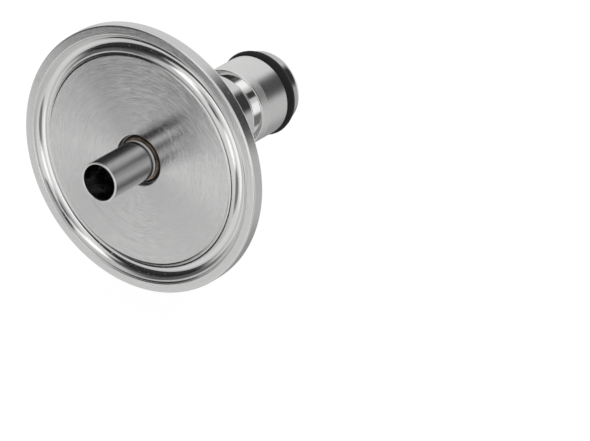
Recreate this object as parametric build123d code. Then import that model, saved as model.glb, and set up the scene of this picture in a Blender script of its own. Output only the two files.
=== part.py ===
from build123d import *
from math import cos, radians, sqrt, tan
import os

# Clamp-plate gas fitting: a quick-connect post on the back of a 2 inch sanitary clamp plate, and a plain
# stub tube for a hose or a carbonation stone on its front. Everything is turned about +Y. The origin is the
# centre of the sealing face; +Y runs from the face through the plate to the tip of the post. Millimetres.

# Clamp plate
rim_r = 32.0            # outer radius of the clamp rim
rim_thickness = 3.1     # at the rim's edge, where the clamp's jaw bears
rim_round = 0.4
back_slope = 20.0       # degrees of the clamp taper behind the rim
plate_thickness = 6.35
groove_inset = 4.68     # from the rim's edge to the middle of the gasket groove
groove_width = 4.85
groove_depth = 1.95
groove_lip_round = 0.3  # the groove's outer lip; its inner edge is left sharp
recess_gap = 1.235      # from the stub tube to the wall of the shallow recess round it
recess_depth = 1.3
recess_round = 0.25

# Stub tube and its weld
tube_r = 4.765
tube_wall = 0.5
tube_step = 0.2         # the end that enters the plate is turned down by this
tube_reach = 14.9       # from the sealing face to the tube's tip
tube_tip_round = 0.12
socket_web = 1.15       # metal left in the plate behind the tube's end
weld_width = 1.055
weld_height = 0.75
weld_clearance = 0.02

# Neck welded to the back of the plate, with the male thread that the post screws on
neck_length = 13.25     # from the plate to the neck's shoulder
neck_shoulder = 0.66    # how far the shoulder stands out beyond the thread
neck_bore_r = 3.6
neck_weld_leg = 1.8
neck_chamfer = 0.3
neck_tip = 0.8          # plain nose beyond the thread
thread_major_r = 7.54
thread_pitch = 1.411
thread_depth = 0.86
thread_turns = 6
thread_run_in = 1.0     # plain length below the thread
thread_clearance = 0.12 # all round, between the male and the female thread

# Quick-connect post, from its hexagon to its tip
post_gap = 0.4          # between the neck's shoulder and the post
post_wall = 2.16        # from the thread's crest to the barrel's surface
hex_height = 4.5
hex_overhang = 1.4      # from the barrel's surface to the hexagon's flats
hex_chamfer = 0.8
collar_length = 7.75
collar_step = 0.05      # the collar is this much smaller than the barrel
collar_round = 0.8      # of the collar's edge at the locking groove
lock_groove_width = 2.85
lock_groove_depth = 1.5
edge_round = 0.25
band_length = 2.8       # tapered band between the locking groove and the barrel
band_step = 0.08
barrel_length = 7.2
oring_groove_width = 3.4
lip_length = 3.0
lip_step = 0.5          # the lip is this much smaller than the barrel
lip_round = 1.6
lip_inner_round = 0.5
chamber_step = 0.78     # from the thread's root in to the poppet chamber's wall
mouth_depth = 2.6       # straight mouth, from the tip to the conical seat
seat_width = 1.9        # of the 45 degree seat, from the mouth to the chamber's wall

# Seals
oring_section = 3.2
oring_stand = 0.6       # how far the O-ring stands out of the barrel
seal_ring_height = 1.2
seal_ring_width = 1.05
ring_clearance = 0.05
seat_clearance = 0.1    # between the closed poppet seal and its conical seat
seal_gap = 0.7          # from the poppet seal to the chamber's wall
seal_height = 3.6

# Poppet stem
mouth_gap = 0.7         # round the stem's head, in the mouth
head_below_tip = 0.9
head_height = 1.35
head_round = 0.8
head_overhang = 1.1     # of the head over the seal's bore
flange_gap = 0.8        # from the flange to the chamber's wall
flange_height = 0.8
pin_r = 1.6
pin_reach = 2.8         # how far the guide pin passes below the cage's top plate

# Spring and cage
cage_gap = 0.2          # from the cage to the chamber's wall
cage_wall = 1.1
cage_height = 4.3
cage_plate = 1.0
cage_legs = 3
cage_leg_width = 2.6
guide_clearance = 0.25
flow_hole_r = 1.3
spring_clearance = 1.35 # between the guide pin and the spring
spring_wire_r = 0.35
spring_turns = 5.0
spring_seat_gap = 0.05

# Radii worked out from the sizes above
groove_r = rim_r - groove_inset
recess_r = tube_r + recess_gap
spigot_r = tube_r - tube_step
neck_r = thread_major_r + neck_shoulder
thread_root_r = thread_major_r - thread_depth
post_r = thread_major_r + post_wall
oring_outer_r = post_r + oring_stand
chamber_r = thread_root_r - chamber_step
mouth_r = chamber_r - seat_width
head_r = mouth_r - mouth_gap
stem_neck_r = head_r - head_overhang
cage_r = chamber_r - cage_gap

# Places along the axis, from the plate to the tip
socket_floor = plate_thickness - socket_web
shoulder_y = plate_thickness + neck_length
post_base = shoulder_y + post_gap
thread_start = post_base + thread_run_in
thread_end = thread_start + thread_turns * thread_pitch
neck_end = thread_end + neck_tip
inner_shoulder = neck_end + seal_ring_height
cage_top = neck_end + cage_height
hex_top = post_base + hex_height
lock_groove_start = hex_top + collar_length
lock_groove_end = lock_groove_start + lock_groove_width
band_end = lock_groove_end + band_length
oring_groove_start = band_end + barrel_length
oring_groove_end = oring_groove_start + oring_groove_width
post_tip = oring_groove_end + lip_length
seat_start = post_tip - mouth_depth
head_top = post_tip - head_below_tip
seal_top = head_top - head_height
seal_bottom = seal_top - seal_height
flange_bottom = seal_bottom - flange_height


def outline(*corners):
    """Closed face from (radius, y) corners, each with an optional rounding radius."""
    points = [corner[:2] for corner in corners]
    rounds = [corner[2] if len(corner) > 2 else 0 for corner in corners]
    return make_face(FilletPolyline(*points, radius=rounds, close=True))


def turned(face):
    return revolve(face, Axis.Y)


def ring(inner_r, outer_r, start, end):
    return turned(outline((inner_r, start), (outer_r, start), (outer_r, end), (inner_r, end)))


def thread_corners(root_r, crest_r, start, turns):
    """Corners of thread ridges drawn as closed rings, flat at the root and at the crest."""
    flat = thread_pitch / 16
    rise = thread_pitch / 2 - 2 * flat
    corners = []
    for turn in range(turns):
        foot = start + turn * thread_pitch + flat
        corners += [(root_r, foot), (crest_r, foot + rise)]
        corners += [(crest_r, foot + rise + 2 * flat), (root_r, foot + 2 * rise + 2 * flat)]
    return corners


def clamp_plate():
    slope_run = (plate_thickness - rim_thickness) / tan(radians(back_slope))
    socket_r = spigot_r + ring_clearance
    face = outline(
        (socket_r, recess_depth), (recess_r, recess_depth, recess_round), (recess_r, 0, recess_round),
        (rim_r, 0, rim_round), (rim_r, rim_thickness, rim_round),
        (rim_r - slope_run, plate_thickness, 2 * rim_round), (neck_bore_r, plate_thickness),
        (neck_bore_r, socket_floor), (socket_r, socket_floor))
    half_width = groove_width / 2
    sweep_r = (half_width**2 + groove_depth**2) / (2 * groove_depth)
    face -= Pos(groove_r, groove_depth - sweep_r) * Circle(sweep_r)
    outer_lip = face.vertices().sort_by_distance((groove_r + half_width, 0))[0]
    return turned(fillet(outer_lip, groove_lip_round))


def stub_tube():
    inner_r = tube_r - tube_wall
    shoulder = recess_depth - weld_height
    return turned(outline(
        (inner_r, socket_floor), (spigot_r, socket_floor), (spigot_r, shoulder),
        (tube_r, shoulder), (tube_r, -tube_reach, tube_tip_round), (inner_r, -tube_reach, tube_tip_round)))


def stub_weld():
    """Fused ring in the recess, round the foot of the stub tube."""
    inner_r = spigot_r + weld_clearance
    top = recess_depth - weld_height
    return turned(outline(
        (inner_r, recess_depth), (inner_r + weld_width, recess_depth),
        (inner_r + weld_width, top, weld_width / 2), (inner_r, top, weld_width / 4)))


def neck():
    return turned(outline(
        (neck_bore_r, plate_thickness), (neck_r, plate_thickness), (neck_r, shoulder_y, neck_chamfer),
        (thread_root_r, shoulder_y),
        *thread_corners(thread_root_r, thread_major_r, thread_start, thread_turns),
        (thread_root_r, neck_end, neck_chamfer), (neck_bore_r, neck_end, neck_chamfer)))


def neck_weld():
    inner_r = neck_r + weld_clearance
    return turned(outline(
        (inner_r, plate_thickness), (inner_r + neck_weld_leg, plate_thickness),
        (inner_r + 0.7 * neck_weld_leg, plate_thickness + 0.7 * neck_weld_leg, neck_weld_leg / 2),
        (inner_r, plate_thickness + neck_weld_leg)))


def neck_seal():
    """Flat ring that the post's inner shoulder squeezes against the end of the neck."""
    inner_r = chamber_r + ring_clearance
    return ring(inner_r, inner_r + seal_ring_width, neck_end, inner_shoulder)


def post_body():
    corner_r = (post_r + hex_overhang) / cos(radians(30))
    turned_base = turned(outline(
        (0, post_base), (corner_r - hex_chamfer, post_base), (corner_r, post_base + hex_chamfer / 2),
        (corner_r, hex_top - hex_chamfer / 2), (corner_r - hex_chamfer, hex_top), (0, hex_top)))
    hexagon = extrude(RegularPolygon(corner_r, 6), 2 * post_tip, both=True)
    base = turned_base & (Rot(90, 0, 0) * hexagon)
    collar_r = post_r - collar_step
    lock_floor_r = post_r - lock_groove_depth
    lip_r = post_r - lip_step
    groove_floor_r = oring_outer_r - oring_section
    barrel = turned(outline(
        (0, hex_top - hex_chamfer), (collar_r, hex_top - hex_chamfer),
        (collar_r, lock_groove_start, collar_round),
        (lock_floor_r, lock_groove_start, edge_round / 2), (lock_floor_r, lock_groove_end),
        (post_r - band_step, lock_groove_end, edge_round), (post_r, band_end),
        (post_r, oring_groove_start, edge_round / 2),
        (groove_floor_r, oring_groove_start), (groove_floor_r, oring_groove_end),
        (lip_r, oring_groove_end, edge_round / 2), (lip_r, post_tip, lip_round), (0, post_tip)))
    female_root_r = thread_root_r + thread_clearance
    female_major_r = thread_major_r + thread_clearance
    bore = turned(outline(
        (0, post_base), (female_major_r, post_base),
        (female_major_r, thread_start),
        *thread_corners(female_root_r, female_major_r, thread_start, thread_turns),
        (female_major_r, thread_end), (female_major_r, inner_shoulder), (chamber_r, inner_shoulder),
        (chamber_r, seat_start - (chamber_r - mouth_r)), (mouth_r, seat_start), (mouth_r, post_tip),
        (0, post_tip)))
    body = base + barrel - bore
    mouth_edge = body.edges().filter_by(GeomType.CIRCLE).group_by(Axis.Y)[-1].sort_by(SortBy.RADIUS)[0]
    return fillet(mouth_edge, lip_inner_round)


def post_oring():
    middle = (oring_groove_start + oring_groove_end) / 2
    section_r = oring_section / 2
    return turned(Pos(oring_outer_r - section_r, middle) * Circle(section_r))


def poppet_stem():
    flange_r = chamber_r - flange_gap
    return turned(outline(
        (0, cage_top - cage_plate - pin_reach), (pin_r, cage_top - cage_plate - pin_reach, pin_r / 2),
        (pin_r, flange_bottom), (flange_r, flange_bottom), (flange_r, seal_bottom),
        (stem_neck_r, seal_bottom), (stem_neck_r, seal_top), (head_r, seal_top),
        (head_r, head_top, head_round), (0, head_top)))


def poppet_seal():
    """Rubber cone held between the stem's head and flange; its cone runs parallel to the seat."""
    inner_r = stem_neck_r + ring_clearance
    outer_r = chamber_r - seal_gap
    seat_line = mouth_r + seat_start - sqrt(2) * seat_clearance
    return turned(outline(
        (inner_r, seal_bottom), (outer_r, seal_bottom), (outer_r, seat_line - outer_r),
        (seat_line - seal_top, seal_top), (inner_r, seal_top)))


def poppet_cage():
    """Ring on the neck's end, with legs that carry the plate that guides the poppet's pin."""
    inner_r = cage_r - cage_wall
    plate_start = cage_top - cage_plate
    wall = ring(inner_r, cage_r, neck_end, plate_start)
    window_height = plate_start - neck_end - cage_plate
    window = Pos(0, neck_end + cage_plate + window_height / 2, 0) * Box(
        2 * cage_r, window_height, 2 * cage_r)
    legs = Part()
    for leg in range(cage_legs):
        leg_box = Pos(cage_r, plate_start - window_height / 2, 0) * Box(
            2 * cage_wall + cage_r, window_height, cage_leg_width)
        legs += Rot(0, leg * 360 / cage_legs, 0) * leg_box
    plate = ring(pin_r + guide_clearance, cage_r, plate_start, cage_top)
    hole = Pos(inner_r - flow_hole_r / 2, cage_top, 0) * (Rot(90, 0, 0) * Cylinder(flow_hole_r, 4 * cage_plate))
    for gap in range(cage_legs):
        plate -= Rot(0, (gap + 0.5) * 360 / cage_legs, 0) * hole
    return wall - window + (wall & legs) + plate


def poppet_spring():
    coil_r = pin_r + spring_clearance + spring_wire_r
    start = cage_top + spring_wire_r + spring_seat_gap
    height = flange_bottom - spring_wire_r - spring_seat_gap - start
    path = Helix(height / spring_turns, height, coil_r, center=(0, start, 0), direction=(0, 1, 0))
    section = Plane(origin=path @ 0, z_dir=path % 0) * Circle(spring_wire_r)
    return sweep(section, path=path, is_frenet=True)


subparts = [
    clamp_plate, stub_tube, stub_weld, neck, neck_weld, neck_seal, post_body, post_oring,
    poppet_stem, poppet_seal, poppet_cage, poppet_spring]

os.makedirs("parts", exist_ok=True)
for subpart in subparts:
    export_step(subpart(), f"parts/{subpart.__name__}.step")
    print(subpart.__name__)
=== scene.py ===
import math

import bmesh
import bpy
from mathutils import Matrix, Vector


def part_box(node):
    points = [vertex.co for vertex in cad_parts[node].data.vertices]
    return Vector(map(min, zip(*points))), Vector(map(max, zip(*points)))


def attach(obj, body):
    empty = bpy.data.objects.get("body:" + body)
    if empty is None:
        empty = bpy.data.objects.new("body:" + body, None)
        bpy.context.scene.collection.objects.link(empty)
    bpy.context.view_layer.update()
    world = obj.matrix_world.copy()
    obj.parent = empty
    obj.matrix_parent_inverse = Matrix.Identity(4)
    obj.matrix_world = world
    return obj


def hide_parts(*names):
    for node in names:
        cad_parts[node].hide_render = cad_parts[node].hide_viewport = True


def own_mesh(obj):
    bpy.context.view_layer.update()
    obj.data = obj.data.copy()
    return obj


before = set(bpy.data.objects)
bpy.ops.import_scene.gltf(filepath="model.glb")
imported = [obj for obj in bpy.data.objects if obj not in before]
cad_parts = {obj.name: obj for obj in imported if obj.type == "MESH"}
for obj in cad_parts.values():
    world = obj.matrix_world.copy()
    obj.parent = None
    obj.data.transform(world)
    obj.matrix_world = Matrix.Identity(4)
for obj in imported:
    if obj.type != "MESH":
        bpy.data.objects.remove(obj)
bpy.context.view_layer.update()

print("stage: frame loaded")


class Wire:  # one socket of a node tree; arithmetic on it adds Math nodes
    def __init__(self, tree, socket=None):
        self.tree, self.socket = tree, socket

    def node(self, kind, settings, sockets, out=0):  # adds a node, its settings before its sockets
        made = self.tree.nodes.new(kind)
        for name, value in settings.items():
            if name == "stops":  # of a colour ramp: place and colour
                ramp = made.color_ramp
                while len(ramp.elements) < len(value):
                    ramp.elements.new(1.0)
                for element, (place, colour) in zip(ramp.elements, value):
                    element.position, element.color = place, (*colour, 1.0)
            else:
                setattr(made, name, value)
        for name, value in sockets.items():
            if isinstance(value, Wire):
                self.tree.links.new(value.socket, made.inputs[name])
            else:
                made.inputs[name].default_value = value
        return Wire(self.tree, made.outputs[out] if made.outputs else None)

    def math(self, operation, *values):
        return self.node("ShaderNodeMath", {"operation": operation}, dict(enumerate(values)))

    def __add__(self, other):
        return self.math("ADD", self, other)

    def __radd__(self, other):
        return self.math("ADD", other, self)

    def __sub__(self, other):
        return self.math("SUBTRACT", self, other)

    def __rsub__(self, other):
        return self.math("SUBTRACT", other, self)

    def __mul__(self, other):
        return self.math("MULTIPLY", self, other)

    def __truediv__(self, other):
        return self.math("DIVIDE", self, other)

    def __rtruediv__(self, other):
        return self.math("DIVIDE", other, self)

    def __mod__(self, other):
        return self.math("FLOORED_MODULO", self, other)


def ease(wire, start, end):  # 0 before start, 1 past end, smooth between
    return wire.node("ShaderNodeMapRange", {"interpolation_type": "SMOOTHSTEP"},
                     {"Value": wire, "From Min": start, "From Max": end})


def band(wire, low, high, soft):  # 1 between low and high
    return ease(wire, low - soft, low) * (1 - ease(wire, high, high + soft))


millimetre = 0.001


def spanOf(node):  # lowest and highest corner of a CAD node, in millimetres
    low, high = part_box(node)
    return low / millimetre, high / millimetre


def turnedLine(corners, closed=True):
    # (radius, along, rounding) corners in millimetres become one line, each rounding an arc
    arcSteps, hold = 7, 0.07
    count = len(corners)
    runs = []
    for i, corner in enumerate(corners):
        here = Vector(corner[:2])
        rounding = corner[2] if len(corner) > 2 else 0
        if not rounding:
            runs.append([here])
            continue
        back = (Vector(corners[i - 1][:2]) - here).normalized()
        onward = (Vector(corners[(i + 1) % count][:2]) - here).normalized()
        half = back.angle(onward) / 2
        centre = here + (back + onward).normalized() * rounding / math.sin(half)
        first = here + back * rounding / math.tan(half) - centre
        last = here + onward * rounding / math.tan(half) - centre
        sweep = first.angle_signed(last)
        runs.append([centre + turned(first, -sweep * step / arcSteps) for step in range(arcSteps + 1)])
    line = []
    for i, run in enumerate(runs):
        line += run
        if i == count - 1 and not closed:
            break
        start, end = run[-1], runs[(i + 1) % count][0]
        if (end - start).length > 6 * hold:  # two more points keep a flat's shading flat up to its edge
            way = (end - start).normalized() * hold
            line += [start + way, end - way]
    return line + line[:1] if closed else line


def turned(point, angle):
    cosine, sine = math.cos(angle), math.sin(angle)
    return Vector((point.x * cosine - point.y * sine, point.x * sine + point.y * cosine))


def lineMesh(name, line):
    mesh = bpy.data.meshes.new(name)
    points = [(point.x * millimetre, point.y * millimetre, 0) for point in line]
    mesh.from_pydata(points, [(i, i + 1) for i in range(len(points) - 1)], [])
    return mesh


def newTree(name, sizes):
    tree = bpy.data.node_groups.new(name, "GeometryNodeTree")
    tree.interface.new_socket("Line", in_out="INPUT", socket_type="NodeSocketGeometry")
    for size, kind in sizes.items():
        tree.interface.new_socket(size, in_out="INPUT", socket_type=kind)
    tree.interface.new_socket("Piece", in_out="OUTPUT", socket_type="NodeSocketGeometry")
    start = Wire(tree)
    given = tree.nodes.new("NodeGroupInput")
    return tree, start, {socket.name: Wire(tree, socket) for socket in given.outputs if socket.name}


def endTree(start, shape, finish, sharpAngle=24.0):
    # smooth shading that stops at edges sharper than the angle
    edgeAngle = start.node("GeometryNodeInputMeshEdgeAngle", {}, {})
    sharp = edgeAngle.math("GREATER_THAN", edgeAngle, math.radians(sharpAngle))
    smooth = start.node("GeometryNodeSetShadeSmooth", {"domain": "FACE"},
                        {"Geometry": shape, "Shade Smooth": True})
    crisp = start.node("GeometryNodeSetShadeSmooth", {"domain": "EDGE"},
                       {"Geometry": smooth, "Selection": sharp, "Shade Smooth": False})
    real = start.node("GeometryNodeRealizeInstances", {}, {"Geometry": crisp})
    dressed = start.node("GeometryNodeSetMaterial", {}, {"Geometry": real, "Material": finish})
    start.node("NodeGroupOutput", {}, {"Piece": dressed})


def turningTree():
    # sweeps a line of (radius, along) points round +Y
    # the flats cut it to a hexagon, and the ripples swell a weld's bead
    tree, start, given = newTree("turning", {
        "Segments": "NodeSocketInt", "Flat Distance": "NodeSocketFloat", "Ripples": "NodeSocketInt",
        "Ripple Share": "NodeSocketFloat", "Root Radius": "NodeSocketFloat",
        "Root Along": "NodeSocketFloat", "Lag": "NodeSocketFloat", "Finish": "NodeSocketMaterial"})
    count = start.node("GeometryNodeAttributeDomainSize", {"component": "MESH"}, {"Geometry": given["Line"]},
                       "Point Count")
    sheet = start.node("GeometryNodeMeshGrid", {}, {
        "Vertices X": given["Segments"] + 1, "Vertices Y": count}, "Mesh")
    index = start.node("GeometryNodeInputIndex", {}, {})
    place = start.node("GeometryNodeInputPosition", {}, {})
    turn = (index / count).math("FLOOR", index / count) / given["Segments"] * math.tau
    point = start.node("GeometryNodeSampleIndex", {"data_type": "FLOAT_VECTOR", "domain": "POINT"}, {
        "Geometry": given["Line"], "Value": place, "Index": index % count})
    radius = start.node("ShaderNodeSeparateXYZ", {}, {"Vector": point}, "X")
    along = start.node("ShaderNodeSeparateXYZ", {}, {"Vector": point}, "Y")
    toFlat = turn % (math.tau / 6) - math.tau / 12
    flatLimit = given["Flat Distance"] / toFlat.math("COSINE", toFlat)
    radius = radius.math("MINIMUM", radius, flatLimit)
    out = radius - given["Root Radius"]
    phase = turn * given["Ripples"] + out * given["Lag"]
    meanRipple = 0.6
    ripple = phase.math("ABSOLUTE", phase.math("SINE", phase / 2)) - meanRipple
    swell = 1 + ripple * given["Ripple Share"]
    radius = given["Root Radius"] + out * swell
    along = given["Root Along"] + (along - given["Root Along"]) * swell
    spot = start.node("ShaderNodeCombineXYZ", {}, {
        "X": radius * turn.math("COSINE", turn), "Y": along, "Z": radius * turn.math("SINE", turn)})
    swept = start.node("GeometryNodeSetPosition", {}, {"Geometry": sheet, "Position": spot})
    seam = 0.001 * millimetre
    sewn = start.node("GeometryNodeMergeByDistance", {}, {"Geometry": swept, "Distance": seam})
    endTree(start, sewn, given["Finish"])
    return tree


def coilTree():
    # a spring about +Y with closed end turns
    wireSides, touchingPitch, endTurn, sharpAngle = 14, 2.1, 0.8, 50.0  # pitch in wire radii, end in turns
    tree, start, given = newTree("coil", {
        "Turns": "NodeSocketFloat", "Coil Radius": "NodeSocketFloat", "Wire Radius": "NodeSocketFloat",
        "Bottom": "NodeSocketFloat", "Height": "NodeSocketFloat", "Points": "NodeSocketInt",
        "Finish": "NodeSocketMaterial"})
    path = start.node("GeometryNodeResampleCurve", {}, {
        "Curve": start.node("GeometryNodeCurvePrimitiveLine", {}, {}), "Count": given["Points"]})
    share = start.node("GeometryNodeSplineParameter", {}, {}, "Factor")
    turn = share * given["Turns"] * math.tau
    closedPitch = given["Wire Radius"] * touchingPitch
    opening = given["Height"] - closedPitch * given["Turns"]
    endShare = 1 / given["Turns"] * endTurn
    rise = share * given["Turns"] * closedPitch + opening * ease(share, endShare, 1 - endShare)
    spot = start.node("ShaderNodeCombineXYZ", {}, {
        "X": given["Coil Radius"] * turn.math("COSINE", turn), "Y": given["Bottom"] + rise,
        "Z": given["Coil Radius"] * turn.math("SINE", turn)})
    bent = start.node("GeometryNodeSetPosition", {}, {"Geometry": path, "Position": spot})
    section = start.node("GeometryNodeCurvePrimitiveCircle", {},
                         {"Resolution": wireSides, "Radius": given["Wire Radius"]})
    wound = start.node("GeometryNodeCurveToMesh", {}, {
        "Curve": bent, "Profile Curve": section, "Fill Caps": True})
    endTree(start, wound, given["Finish"], sharpAngle)
    return tree


def growPiece(name, mesh, tree, sizes, body, *nodes):
    piece = bpy.data.objects.new(name, mesh)
    bpy.context.scene.collection.objects.link(piece)
    shape = piece.modifiers.new("shape", "NODES")
    shape.node_group = tree
    for socket in tree.interface.items_tree:
        if socket.in_out == "INPUT" and socket.name in sizes:
            shape[socket.identifier] = sizes[socket.name]
    graph = bpy.context.evaluated_depsgraph_get()
    piece.data = bpy.data.meshes.new_from_object(piece.evaluated_get(graph), depsgraph=graph)
    piece.modifiers.clear()
    work = bmesh.new()  # turns every face outwards
    work.from_mesh(piece.data)
    bmesh.ops.recalc_face_normals(work, faces=work.faces)
    work.to_mesh(piece.data)
    work.free()
    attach(piece, body)
    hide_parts(*nodes)
    print("piece:", name, len(piece.data.polygons), "faces")
    return piece


turning = turningTree()
coil = coilTree()


def turnPiece(name, line, finish, body, node, segments, **shaping):
    sizes = {"Segments": segments, "Flat Distance": 1.0, "Ripples": 0, "Ripple Share": 0.0,
             "Root Radius": 0.0, "Root Along": 0.0, "Lag": 0.0, "Finish": finish}
    sizes.update(shaping)
    piece = growPiece(name, lineMesh(name, line), turning, sizes, body, node)


def newFinish(name):
    material = bpy.data.materials.new(name)
    material.use_nodes = True
    material.node_tree.nodes.clear()
    return material, Wire(material.node_tree)


def coat(make, sockets):
    shader = make.node("ShaderNodeBsdfPrincipled", {}, sockets)
    make.node("ShaderNodeOutputMaterial", {}, {"Surface": shader})


def scaledPlace(make):  # in millimetres
    place = make.node("ShaderNodeTexCoord", {}, {}, "Object")
    return make.node("ShaderNodeVectorMath", {"operation": "SCALE"}, {0: place, "Scale": 1 / millimetre})


def lathePlace(make):
    # the place, the distances from the axis and along it, and the direction out from it
    place = scaledPlace(make)
    across = make.node("ShaderNodeVectorMath", {"operation": "MULTIPLY"}, {0: place, 1: (1, 0, 1)})
    radius = make.node("ShaderNodeVectorMath", {"operation": "LENGTH"}, {0: across}, "Value")
    along = make.node("ShaderNodeSeparateXYZ", {}, {"Vector": place}, "Y")
    spoke = make.node("ShaderNodeVectorMath", {"operation": "NORMALIZE"}, {0: across})
    return place, radius, along, spoke


def cloudy(make, vector, scale, detail, roughness=0.6):
    return make.node("ShaderNodeTexNoise", {"noise_dimensions": "3D"}, {
        "Vector": vector, "Scale": scale, "Detail": detail, "Roughness": roughness})


def toolMarks(make, radius, along, spoke, pitch, wander):
    # rings that a lathe tool leaves: they change quickly along the profile and slowly round it
    sideShare = 0.83  # a side's rings stand a little wider than a face's
    travel = (radius + along * sideShare) / pitch
    around = make.node("ShaderNodeVectorMath", {"operation": "SCALE"}, {0: spoke, "Scale": wander})
    rings = make.node("ShaderNodeCombineXYZ", {}, {"Y": travel})
    path = make.node("ShaderNodeVectorMath", {"operation": "ADD"}, {0: rings, 1: around})
    return cloudy(make, path, scale=1.0, detail=2.0, roughness=0.7)


def shade(make, amount, dark, light):
    # inputs 6 and 7 and output 2 are the mix's colour sockets
    return make.node("ShaderNodeMix", {"data_type": "RGBA"}, {0: amount, 6: (*dark, 1), 7: (*light, 1)}, 2)


def blended(radius, along, start, zones, key):
    # a value that changes from zone to zone of a turned surface
    value = start
    for zone in zones:
        mask = 1.0
        if "across" in zone:
            mask = band(radius, *zone["across"], zone["soft"]) * mask
        if "along" in zone:
            mask = band(along, *zone["along"], zone["soft"]) * mask
        value = value + mask * (zone[key] - value)
    return value


def raised(make, height):  # a bump for a height in millimetres
    return make.node("ShaderNodeBump", {}, {"Height": height, "Strength": 1.0, "Distance": millimetre})


steelTone = {
    "dark": (0.30, 0.30, 0.305), "light": (0.86, 0.855, 0.85), "bandWidth": 9, "grainScale": 6.0,
    "nickScale": 2.3, "nickEdge": 0.05, "nickDark": 0.3, "nickRough": 0.1, "markRough": 0.06}


def turnedSteel(name, look, zones=()):
    material, make = newFinish(name)
    tone = steelTone
    place, radius, along, spoke = lathePlace(make)
    marks = toolMarks(make, radius, along, spoke, look["pitch"], look["wander"])
    bands = toolMarks(make, radius, along, spoke, look["pitch"] * tone["bandWidth"], look["wander"])
    grain = cloudy(make, place, tone["grainScale"], detail=4.0)
    depth = blended(radius, along, look["depth"], zones, "depth")
    rough = blended(radius, along, look["roughness"], zones, "roughness")
    bright = blended(radius, along, look["bright"], zones, "bright")
    speckle = cloudy(make, place, tone["nickScale"], detail=6.0, roughness=0.75)
    nicks = ease(speckle, look["nickLevel"], look["nickLevel"] + tone["nickEdge"])
    height = (marks + bands * look["bandShare"]) * depth - nicks * look["nickDepth"]
    height = height + radius * radius * look["crown"]  # makes a face look very slightly domed
    brightness = bright + (bands - 0.5) * look["streak"] - nicks * tone["nickDark"]
    roughness = rough + (grain - 0.5) * look["roughSpread"] + (marks - 0.5) * tone["markRough"]
    coat(make, {
        "Base Color": shade(make, brightness, tone["dark"], tone["light"]),
        "Roughness": roughness + nicks * tone["nickRough"],
        "Metallic": 1.0, "Normal": raised(make, height)})
    return material


plateSizes = {
    "grooveInset": 4.68, "grooveWidth": 4.85, "grooveDepth": 1.95, "lipRound": 0.3, "innerRound": 0.05,
    "rimThickness": 3.1, "rimRound": 0.4, "backSlope": 20.0, "recessGap": 1.235, "recessDepth": 1.3,
    "recessRound": 0.25, "socketGap": 0.05, "boreRadius": 3.6, "segments": 320}
plateLow, plateHigh = spanOf("clamp_plate")
tubeLow, tubeHigh = spanOf("stub_tube")
rimRadius, plateThickness = plateHigh.x, plateHigh.y
tubeRadius, tubeTip, socketFloor = tubeHigh.x, tubeLow.y, tubeHigh.y
tubeSizes = {"wall": 0.5, "step": 0.2, "tipRound": 0.12, "stepAlong": 0.55, "segments": 160}
spigotRadius = tubeRadius - tubeSizes["step"]
recessRadius = tubeRadius + plateSizes["recessGap"]
grooveRadius = rimRadius - plateSizes["grooveInset"]
halfGroove = plateSizes["grooveWidth"] / 2


def grooveLine():
    # the gasket groove's arc from its inner edge to its rounded outer lip, as (radius, along)
    steps, lipSteps = 26, 7
    depth, lip = plateSizes["grooveDepth"], plateSizes["lipRound"]
    sweep = (halfGroove ** 2 + depth ** 2) / (2 * depth)
    first = -math.asin(halfGroove / sweep)
    lipCentre = grooveRadius + math.sqrt((sweep + lip) ** 2 - (sweep + lip - depth) ** 2)
    last = math.asin((lipCentre - grooveRadius) / (sweep + lip))
    line = []
    for step in range(steps + 1):
        turn = first + (last - first) * step / steps
        line.append((grooveRadius + sweep * math.sin(turn), depth - sweep + sweep * math.cos(turn)))
    line[0] += (plateSizes["innerRound"],)
    for step in range(1, lipSteps + 1):
        turn = last * (1 - step / lipSteps)
        line.append((lipCentre - lip * math.sin(turn), lip - lip * math.cos(turn)))
    return line


plateLook = {
    "pitch": 0.06, "wander": 3.0, "depth": 0.019, "roughness": 0.15, "bright": 0.78, "bandShare": 0.1,
    "nickLevel": 0.63, "nickDepth": 0.015, "streak": 0.06, "roughSpread": 0.10, "crown": -0.0009}


def plateFinish():
    inner, outer = grooveRadius - halfGroove, grooveRadius + halfGroove
    # the recess is painted darker, as painted shade in the hollow round the tube, and given a rougher finish
    recess = {"across": (spigotRadius, recessRadius), "along": (0.2, 2), "soft": 0.1,
              "depth": 0.004, "roughness": 0.45, "bright": 0.5}
    groove = {"across": (inner, outer), "along": (-1, 2.2), "soft": 0.05,
              "depth": 0.0018, "roughness": 0.07, "bright": 0.84}
    land = {"across": (outer + 0.1, rimRadius + 1), "soft": 0.1,
            "depth": 0.012, "roughness": 0.2, "bright": 0.9}
    rimSide = {"along": (0.4, 2.7), "across": (rimRadius - 0.1, rimRadius + 1), "soft": 0.1,
               "depth": 0.005, "roughness": 0.22, "bright": 0.68}
    return turnedSteel("turnedPlateSteel", plateLook, (recess, groove, land, rimSide))


def makeClampPlate():
    size = plateSizes
    rise = plateThickness - size["rimThickness"]
    slopeRun = rise / math.tan(math.radians(size["backSlope"]))
    socketRadius = spigotRadius + size["socketGap"]
    line = turnedLine([
        (socketRadius, size["recessDepth"]), (recessRadius, size["recessDepth"], size["recessRound"]),
        (recessRadius, 0, size["recessRound"]), *grooveLine(),
        (rimRadius, 0, size["rimRound"]), (rimRadius, size["rimThickness"], size["rimRound"]),
        (rimRadius - slopeRun, plateThickness, 2 * size["rimRound"]),
        (size["boreRadius"], plateThickness), (size["boreRadius"], socketFloor),
        (socketRadius, socketFloor)])
    turnPiece("clampPlate", line, plateFinish(), "fitting", "clamp_plate", size["segments"])


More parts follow.
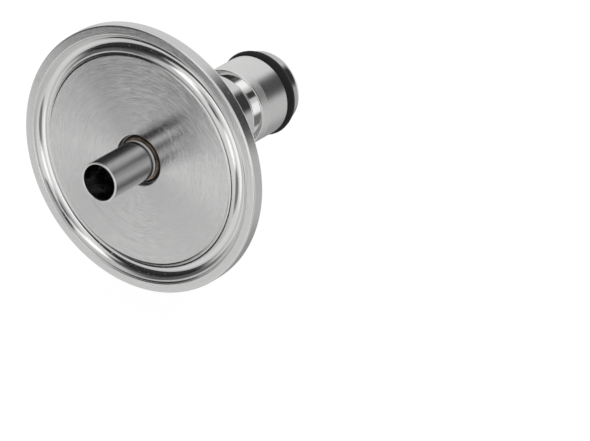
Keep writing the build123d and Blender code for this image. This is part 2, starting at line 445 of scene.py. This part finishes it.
tubeLook = {
    "stretch": 0.012, "pitch": 0.11, "depth": 0.010, "roughness": 0.15, "bright": 0.16, "streak": 0.16,
    "patchScale": 0.9, "patchRough": 0.1, "tipEdge": (0.1, 0.2), "tipBright": 0.84, "tipPolish": 0.8,
    "boreEdge": (0.8, 0.6), "boreBounceLight": 0.6, "footStart": (-1.15, -0.45), "footEnd": (-0.18, 0.0),
    "footPaleAndHighlight": 0.8, "footRough": 0.4}


def tubeFinish():
    look = tubeLook
    material, make = newFinish("brushedTubeSteel")
    place, radius, along = lathePlace(make)[:3]
    lengthwise = {0: place, 1: (1, look["stretch"], 1)}
    stretched = make.node("ShaderNodeVectorMath", {"operation": "MULTIPLY"}, lengthwise)
    strokes = cloudy(make, stretched, 1 / look["pitch"], detail=2.0, roughness=0.7)
    patches = cloudy(make, stretched, look["patchScale"], detail=3.0)
    tipFace = 1 - ease(along, *[tubeTip + edge for edge in look["tipEdge"]])
    # inside marks the bore, whose colour is painted lighter below as painted light bounced round inside the
    # tube
    inside = 1 - ease(radius, *[tubeRadius - tubeSizes["wall"] * share for share in look["boreEdge"]])
    # a dull pale ring round the foot, beside the weld: a frosted heat-affected band, painted lighter as well
    # as a painted highlight along the weld's toe
    foot = ease(along, *look["footStart"]) * (1 - ease(along, *look["footEnd"])) * (1 - inside)
    brightness = look["bright"] + (strokes - 0.5) * look["streak"] + tipFace * look["tipBright"]
    brightness = brightness + inside * look["boreBounceLight"] + foot * look["footPaleAndHighlight"]
    height = strokes * look["depth"] * (1 - tipFace * look["tipPolish"])
    roughness = look["roughness"] + (patches - 0.5) * look["patchRough"] + foot * look["footRough"]
    coat(make, {
        "Base Color": shade(make, brightness, steelTone["dark"], steelTone["light"]),
        "Roughness": roughness, "Metallic": 1 - foot, "Normal": raised(make, height)})
    return material


def makeStubTube():
    size = tubeSizes
    inner = tubeRadius - size["wall"]
    line = turnedLine([
        (inner, socketFloor), (spigotRadius, socketFloor), (spigotRadius, size["stepAlong"]),
        (tubeRadius, size["stepAlong"]), (tubeRadius, tubeTip, size["tipRound"]),
        (inner, tubeTip, size["tipRound"])])
    turnPiece("stubTube", line, tubeFinish(), "fitting", "stub_tube", size["segments"])


weldLook = {"heatAndShadeWander": 0.9, "grainScale": 9.0, "grainRough": 0.2}


def weldFinish(name, look, rootRadius, width):
    # heat colours run outwards from the weld's root; on the stub weld they end in near black, a painted
    # shade of the dark gap at the weld's outer edge
    material, make = newFinish(name)
    place, radius = lathePlace(make)[:2]
    patches = cloudy(make, place, look["patchScale"], detail=3.0)
    fine = cloudy(make, place, weldLook["grainScale"], detail=4.0)
    tintAndShade = (radius - rootRadius) / width + (patches - 0.5) * weldLook["heatAndShadeWander"]
    colour = make.node("ShaderNodeValToRGB", {"stops": look["heatAndShadeColours"]}, {"Fac": tintAndShade})
    coat(make, {
        "Base Color": colour, "Roughness": look["roughness"] + (fine - 0.5) * weldLook["grainRough"],
        "Metallic": 1.0, "Normal": raised(make, fine * look["depth"])})
    return material


stubWeldSizes = {
    "width": 1.055, "gap": 0.02, "outerRound": 0.55, "innerRound": 0.1, "ripples": 46, "rippleShare": 0.16,
    "lag": 2600.0, "segments": 552, "patchScale": 0.5, "depth": 0.02, "roughness": 0.3,
    # the brown stops are heat tint; the last stops darken to near black as painted shade of the gap at the
    # weld's outer edge
    "heatAndShadeColours": [(0.0, (0.40, 0.33, 0.28)), (0.3, (0.33, 0.26, 0.21)), (0.44, (0.15, 0.112, 0.088)),
                    (0.58, (0.05, 0.042, 0.036)), (1.0, (0.03, 0.027, 0.025))]}
neckWeldSizes = {
    "leg": 1.8, "gap": 0.02, "bulge": 0.7, "ripples": 64, "rippleShare": 0.13, "lag": 1500.0,
    "segments": 640, "patchScale": 0.35, "depth": 0.015, "roughness": 0.32,
    "heatAndShadeColours": [(0.0, (0.62, 0.59, 0.54)), (0.4, (0.58, 0.47, 0.33)), (0.7, (0.62, 0.60, 0.58)),
                    (1.0, (0.36, 0.35, 0.42))]}


def makeWeld(name, node, line, finish, size, root, foot):  # its ripples swell away from (root, foot)
    turnPiece(name, line, finish, "fitting", node, size["segments"], **{
        "Ripples": size["ripples"], "Ripple Share": size["rippleShare"], "Lag": size["lag"],
        "Root Radius": root * millimetre, "Root Along": foot * millimetre})


def makeStubWeld():
    low, high = spanOf("stub_weld")
    size = stubWeldSizes
    width = size["width"]
    root = spigotRadius + size["gap"]
    line = turnedLine([
        (root, high.y), (root + width, high.y), (root + width, low.y, width * size["outerRound"]),
        (root, low.y, width * size["innerRound"])])
    finish = weldFinish("heatTintedWeldWithPaintedShade", size, root, width)
    makeWeld("stubWeld", "stub_weld", line, finish, size, root, high.y)


neckSizes = {"bore": 3.6, "chamfer": 0.3, "runIn": 1.0, "postGap": 0.4, "segments": 192}
threadSizes = {"major": 7.54, "depth": 0.86, "pitch": 1.411, "turns": 6, "clearance": 0.12}
neckHigh = spanOf("neck")[1]
neckRadius, neckEnd = neckHigh.x, neckHigh.y
postLow, postHigh = spanOf("post_body")
postBase, postTip = postLow.y, postHigh.y
shoulderAlong = postBase - neckSizes["postGap"]
threadStart = postBase + neckSizes["runIn"]
threadRoot = threadSizes["major"] - threadSizes["depth"]


def threadLine(root, crest):  # ridges with flats at root and crest, from the first to the last turn
    pitch = threadSizes["pitch"]
    flat = pitch / 16
    rise = pitch / 2 - 2 * flat
    corners = []
    for turn in range(threadSizes["turns"]):
        foot = threadStart + turn * pitch + flat
        corners += [(root, foot), (crest, foot + rise)]
        corners += [(crest, foot + rise + 2 * flat), (root, foot + 2 * rise + 2 * flat)]
    return corners


def makeNeck(finish):
    bore, chamfer = neckSizes["bore"], neckSizes["chamfer"]
    line = turnedLine([
        (bore, plateThickness), (neckRadius, plateThickness), (neckRadius, shoulderAlong, chamfer),
        (threadRoot, shoulderAlong), *threadLine(threadRoot, threadSizes["major"]),
        (threadRoot, neckEnd, chamfer), (bore, neckEnd, chamfer)])
    turnPiece("threadedNeck", line, finish, "fitting", "neck", neckSizes["segments"])


def makeNeckWeld():
    low, high = spanOf("neck_weld")
    size = neckWeldSizes
    leg = size["leg"]
    root, bulge = neckRadius + size["gap"], leg * size["bulge"]
    line = turnedLine([
        (root, low.y), (root + leg, low.y), (root + bulge, low.y + bulge, leg / 2), (root, high.y)])
    finish = weldFinish("brushedNeckWeld", size, root, leg)
    makeWeld("neckWeld", "neck_weld", line, finish, size, root, low.y)


postSizes = {
    "hexHeight": 4.5, "hexChamfer": 0.8, "hexFoot": 0.15, "barrelRadius": 9.7, "collarLength": 7.75,
    "collarStep": 0.05, "collarRound": 0.8, "lockWidth": 2.85, "lockDepth": 1.5, "edgeRound": 0.25,
    "bandLength": 2.8, "bandStep": 0.08, "barrelLength": 7.2, "ringGrooveWidth": 3.4,
    "ringGrooveFloor": 7.1, "lipStep": 0.5, "lipRound": 1.6, "mouthRound": 0.5, "mouthRadius": 4.0,
    "mouthDepth": 2.6, "chamberRadius": 5.9, "sealShoulder": 31.466, "segments": 360}
hexTop = postBase + postSizes["hexHeight"]
lockStart = hexTop + postSizes["collarLength"]
lockEnd = lockStart + postSizes["lockWidth"]
bandEnd = lockEnd + postSizes["bandLength"]
ringGrooveStart = bandEnd + postSizes["barrelLength"]
ringGrooveEnd = ringGrooveStart + postSizes["ringGrooveWidth"]


postLook = {
    "pitch": 0.13, "wander": 3.0, "depth": 0.012, "roughness": 0.25, "bright": 0.78, "bandShare": 0.4,
    "nickLevel": 0.65, "nickDepth": 0.008, "streak": 0.10, "roughSpread": 0.08, "crown": 0.0}


def postFinish():
    lockFinishStart, lockFinishEnd = lockStart - 0.2, lockEnd + 0.55
    zones = [
        {"along": (hexTop, lockFinishStart), "depth": 0.006, "roughness": 0.11, "bright": 0.72},
        {"along": (lockFinishStart, lockFinishEnd), "depth": 0.001, "roughness": 0.05, "bright": 0.9},
        {"along": (lockFinishEnd, bandEnd), "depth": 0.012, "roughness": 0.4, "bright": 0.86},
        {"along": (ringGrooveEnd, postTip + 1), "depth": 0.003, "roughness": 0.12, "bright": 0.45},
        {"along": (postBase - 1, hexTop), "depth": 0.006, "roughness": 0.2, "bright": 0.8}]
    return turnedSteel("turnedPostSteel", postLook, [{**zone, "soft": 0.05} for zone in zones])


def makePostBody(finish):
    size = postSizes
    radius, edge, cut = size["barrelRadius"], size["edgeRound"], size["hexChamfer"]
    corner, flats = postHigh.x, postHigh.z
    collar = radius - size["collarStep"]
    lockFloor = radius - size["lockDepth"]
    lip = radius - size["lipStep"]
    wideRoot = threadRoot + threadSizes["clearance"]
    wideMajor = threadSizes["major"] + threadSizes["clearance"]
    threadEnd = threadStart + threadSizes["turns"] * threadSizes["pitch"]
    mouth, chamber = size["mouthRadius"], size["chamberRadius"]
    seatAlong = postTip - size["mouthDepth"]
    outside = [
        (wideMajor, postBase), (corner - cut, postBase), (corner, postBase + cut / 2),
        (corner, hexTop - cut / 2), (corner - cut, hexTop), (collar, hexTop, size["hexFoot"]),
        (collar, lockStart, size["collarRound"]), (lockFloor, lockStart, edge / 2), (lockFloor, lockEnd),
        (radius - size["bandStep"], lockEnd, edge), (radius, bandEnd),
        (radius, ringGrooveStart, edge / 2), (size["ringGrooveFloor"], ringGrooveStart, edge / 2),
        (size["ringGrooveFloor"], ringGrooveEnd, edge / 2), (lip, ringGrooveEnd, edge / 2),
        (lip, postTip, size["lipRound"])]
    inside = [
        (mouth, postTip, size["mouthRound"]), (mouth, seatAlong), (chamber, seatAlong - chamber + mouth),
        (chamber, size["sealShoulder"]), (wideMajor, size["sealShoulder"]), (wideMajor, threadEnd),
        *reversed(threadLine(wideRoot, wideMajor)), (wideMajor, threadStart)]
    turnPiece("postBody", turnedLine(outside + inside), finish, "fitting", "post_body", size["segments"],
              **{"Flat Distance": flats * millimetre})


rubberLook = {
    "dark": (0.022, 0.022, 0.024), "light": (0.036, 0.036, 0.038), "grain": 7.0, "grainRough": 0.1,
    "smear": 0.35, "smearRough": 0.25, "depth": 0.012, "roughness": 0.42, "sheen": 0.03}


def rubberFinish():
    look = rubberLook
    material, make = newFinish("blackRubber")
    place = scaledPlace(make)
    fine = cloudy(make, place, look["grain"], detail=4.0)
    smears = cloudy(make, place, look["smear"], detail=3.0)
    roughness = look["roughness"] + (smears - 0.5) * look["smearRough"] + (fine - 0.5) * look["grainRough"]
    coat(make, {
        "Base Color": shade(make, smears, look["dark"], look["light"]), "Roughness": roughness,
        "Metallic": 0.0, "Specular IOR Level": look["sheen"],
        "Normal": raised(make, fine * look["depth"])})
    return material


ringSizes = {"section": 3.2, "flashHeight": 0.04, "flashWidth": 0.12, "steps": 72, "segments": 240}


def makePostOring(finish):
    low, high = spanOf("post_oring")
    radius = ringSizes["section"] / 2
    centre = Vector((high.x - radius, (low.y + high.y) / 2))
    line = []
    for step in range(ringSizes["steps"] + 1):
        turn = math.tau * step / ringSizes["steps"]
        outward = Vector((math.cos(turn), math.sin(turn)))
        # the mould's parting line, a thin flash round the outside
        flash = math.exp(-(outward.y * radius / ringSizes["flashWidth"]) ** 2) - 1
        line.append(centre + outward * (radius + ringSizes["flashHeight"] * flash * (outward.x > 0)))
    turnPiece("postOring", line, finish, "fitting", "post_oring", ringSizes["segments"])


poppetSizes = {
    "pin": 1.6, "flange": 5.1, "flangeHeight": 0.8, "sealHeight": 3.6, "neck": 2.2, "head": 3.3,
    "headHeight": 1.35, "headRound": 0.8, "sealRadius": 5.2, "seatGap": 0.1, "boreGap": 0.05,
    "dimple": 0.9, "dimpleRound": 0.15, "dimpleDepth": 0.35, "pinFoot": 0.15, "flangeRound": 0.12,
    "headEdge": 0.1, "sealRound": 0.2, "segments": 160}


def makePoppet(steel, rubber):
    low, high = spanOf("poppet_stem")
    size = poppetSizes
    sealTop = high.y - size["headHeight"]
    sealBottom = sealTop - size["sealHeight"]
    flangeBottom = sealBottom - size["flangeHeight"]
    stem = turnedLine([
        (0, low.y), (size["pin"], low.y, size["pin"] / 2), (size["pin"], flangeBottom, size["pinFoot"]),
        (size["flange"], flangeBottom, size["flangeRound"]),
        (size["flange"], sealBottom, size["flangeRound"]), (size["neck"], sealBottom),
        (size["neck"], sealTop), (size["head"], sealTop, size["headEdge"]),
        (size["head"], high.y, size["headRound"]),
        (size["dimple"], high.y, size["dimpleRound"]), (0, high.y - size["dimpleDepth"])], closed=False)
    turnPiece("poppetStem", stem, steel, "poppet", "poppet_stem", size["segments"])
    bore = size["neck"] + size["boreGap"]
    seatAlong = postTip - postSizes["mouthDepth"]
    seatLine = postSizes["mouthRadius"] + seatAlong - math.sqrt(2) * size["seatGap"]
    # on the seal's cone, radius + along is seatLine
    seal = turnedLine([
        (bore, sealBottom), (size["sealRadius"], sealBottom, size["sealRound"]),
        (size["sealRadius"], seatLine - size["sealRadius"], size["sealRound"]),
        (seatLine - sealTop, sealTop, size["headEdge"]), (bore, sealTop)])
    turnPiece("poppetSeal", seal, rubber, "poppet", "poppet_seal", size["segments"])


springSizes = {"turns": 7.0, "coil": 3.3, "wire": 0.35, "points": 900}


def makeSpring(finish):
    low, high = spanOf("poppet_spring")
    wire = springSizes["wire"]
    blank = bpy.data.meshes.new("springBlank")
    spring = growPiece("poppetSpring", blank, coil, {
        "Turns": springSizes["turns"], "Coil Radius": springSizes["coil"] * millimetre,
        "Wire Radius": wire * millimetre, "Bottom": (low.y + wire) * millimetre,
        "Height": (high.y - low.y - 2 * wire) * millimetre, "Points": springSizes["points"],
        "Finish": finish}, "fitting", "poppet_spring")
    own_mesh(spring)


def dressNode(node, finish):
    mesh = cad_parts[node].data
    mesh.materials.clear()
    mesh.materials.append(finish)


valveLook = {
    "pitch": 0.09, "wander": 1.2, "depth": 0.004, "roughness": 0.14, "bright": 0.85, "bandShare": 0.8,
    "nickLevel": 0.68, "nickDepth": 0.004, "streak": 0.08, "roughSpread": 0.06, "crown": 0.0}
postSteel = postFinish()
valveSteel = turnedSteel("brightValveSteel", valveLook)
blackRubber = rubberFinish()
makeClampPlate()
makeStubTube()
makeStubWeld()
makeNeck(postSteel)
makeNeckWeld()
makePostBody(postSteel)
makePostOring(blackRubber)
makePoppet(valveSteel, blackRubber)
makeSpring(valveSteel)
dressNode("neck_seal", blackRubber)
dressNode("poppet_cage", valveSteel)
print("stage: pieces made")


studio = {
    "level": 0.6,
    "panels": [  # each one's place seen from the part, in degrees from -Y and up, its reach and its glow
        {"turn": 30, "rise": 5, "core": 38, "edge": 66, "level": 0.82},
        {"turn": -150, "rise": 40, "core": 34, "edge": 62, "level": 0.82},
        {"turn": 8, "rise": 40, "core": 9, "edge": 22, "level": 1.35},
        {"turn": -62, "rise": -26, "core": 8, "edge": 24, "level": 0.8},
        {"turn": -15, "rise": -42, "core": 10, "edge": 25, "level": 0.8},
        {"turn": 31, "rise": -28, "core": 7, "edge": 19, "level": 0.22},
        {"turn": 20, "rise": 22, "core": 4, "edge": 20, "level": 0.38},
        {"turn": 33, "rise": 26, "core": 4, "edge": 9, "level": 0.06},
        {"turn": 36, "rise": -2, "core": 6, "edge": 16, "level": 1.3},
        {"turn": -10, "rise": -14, "core": 11, "edge": 18, "level": 1.15},
        {"turn": -70, "rise": 26, "core": 16, "edge": 46, "level": 0.12},
        {"turn": -30, "rise": 34, "core": 9, "edge": 20, "level": 0.12},
        {"turn": -38, "rise": 22, "core": 10, "edge": 18, "level": 0.05},
        {"turn": -38, "rise": 5, "core": 14, "edge": 20, "level": 0.025},
        {"turn": -33, "rise": -9, "core": 10, "edge": 15, "level": 0.04},
        {"turn": -167, "rise": -40, "core": 6, "edge": 32, "level": 0.36},
        {"turn": 174, "rise": -9, "core": 9, "edge": 24, "level": 1.3},
        {"turn": 144, "rise": 22, "core": 12, "edge": 27, "level": 0.05}],
    "lampSize": 0.7, "lampPower": 1.1, "lampPlace": (-0.35, 0.35, 0.75),
    "floorSize": 30.0, "floorDrop": 0.0002, "floorGrain": 40.0, "floorShare": 0.2, "floorGlow": 1.15,
    "paperDark": (0.80, 0.80, 0.80), "paperLight": (0.84, 0.84, 0.84)}


def wayTo(turn, rise):
    turn, rise = math.radians(turn), math.radians(rise)
    return Vector((math.sin(turn) * math.cos(rise), -math.cos(turn) * math.cos(rise), math.sin(rise)))


def makeWorld():
    world = bpy.data.worlds.new("paleStudio")
    world.use_nodes = True
    world.node_tree.nodes.clear()
    make = Wire(world.node_tree)
    way = make.node("ShaderNodeTexCoord", {}, {}, "Generated")
    glow = studio["level"]
    for panel in studio["panels"]:
        aim = wayTo(panel["turn"], panel["rise"])
        facing = make.node("ShaderNodeVectorMath", {"operation": "DOT_PRODUCT"}, {0: way, 1: aim}, "Value")
        mask = ease(facing, math.cos(math.radians(panel["edge"])), math.cos(math.radians(panel["core"])))
        glow = glow + mask * (panel["level"] - glow)
    seen = make.node("ShaderNodeLightPath", {}, {}, "Is Camera Ray")
    strength = seen + (1 - seen) * glow
    sky = make.node("ShaderNodeBackground", {}, {"Strength": strength, "Color": (1, 1, 1, 1)})
    make.node("ShaderNodeOutputWorld", {}, {"Surface": sky})
    bpy.context.scene.world = world


def makeFloor():
    mesh = bpy.data.meshes.new("floor")
    half, height = studio["floorSize"] / 2, plateLow.z * millimetre - studio["floorDrop"]
    corners = [(-half, -half, height), (half, -half, height), (half, half, height), (-half, half, height)]
    mesh.from_pydata(corners, [], [(0, 1, 2, 3)])
    floor = bpy.data.objects.new("floor", mesh)
    bpy.context.scene.collection.objects.link(floor)
    material, make = newFinish("palePaper")
    place = make.node("ShaderNodeTexCoord", {}, {}, "Object")
    grain = cloudy(make, place, studio["floorGrain"], detail=2.0)
    tone = shade(make, grain, studio["paperDark"], studio["paperLight"])
    paper = make.node("ShaderNodeBsdfDiffuse", {}, {"Color": tone})
    glow = make.node("ShaderNodeEmission", {}, {"Color": (1, 1, 1, 1), "Strength": studio["floorGlow"]})
    seen = make.node("ShaderNodeLightPath", {}, {}, "Is Camera Ray")
    mixed = make.node("ShaderNodeMixShader", {}, {0: seen * (1 - studio["floorShare"]), 1: paper, 2: glow})
    make.node("ShaderNodeOutputMaterial", {}, {"Surface": mixed})
    mesh.materials.append(material)
    floor.visible_glossy = False  # the steel mirrors the studio's lower half instead


def makeLamp():
    data = bpy.data.lights.new("softbox", "AREA")
    data.size, data.energy = studio["lampSize"], studio["lampPower"]
    lamp = bpy.data.objects.new("softbox", data)
    bpy.context.scene.collection.objects.link(lamp)
    lamp.location = studio["lampPlace"]
    lamp.visible_glossy = False  # the steel shows the studio's panels instead
    lamp.rotation_euler = Vector(studio["lampPlace"]).to_track_quat("Z", "Y").to_euler()


camera = {  # its target is seen off-centre, by these millimetres aside and below
    "azimuth": 34.57, "elevation": 24.63, "distance": 1127.03, "lens": 305.08, "sensor": 36.0,
    "aside": 35.005, "below": 13.746, "target": (0, 0.5, 0)}


def makeCamera():
    data = bpy.data.cameras.new("camera")
    data.lens, data.sensor_width = camera["lens"], camera["sensor"]
    view = bpy.data.objects.new("camera", data)
    bpy.context.scene.collection.objects.link(view)
    turn, tilt = math.radians(camera["azimuth"]), math.radians(camera["elevation"])
    aside = Vector((math.cos(turn), math.sin(turn), 0))
    ahead = Vector((-math.sin(turn) * math.cos(tilt), math.cos(turn) * math.cos(tilt), -math.sin(tilt)))
    up = aside.cross(ahead)
    place = Vector(camera["target"]) + aside * camera["aside"] - up * camera["below"]
    view.location = (place - ahead * camera["distance"]) * millimetre
    view.rotation_euler = (math.pi / 2 - tilt, 0, turn)
    bpy.context.scene.camera = view


makeWorld()
makeFloor()
makeLamp()
makeCamera()
bpy.context.scene.view_settings.view_transform = "Standard"
print("stage: studio ready")
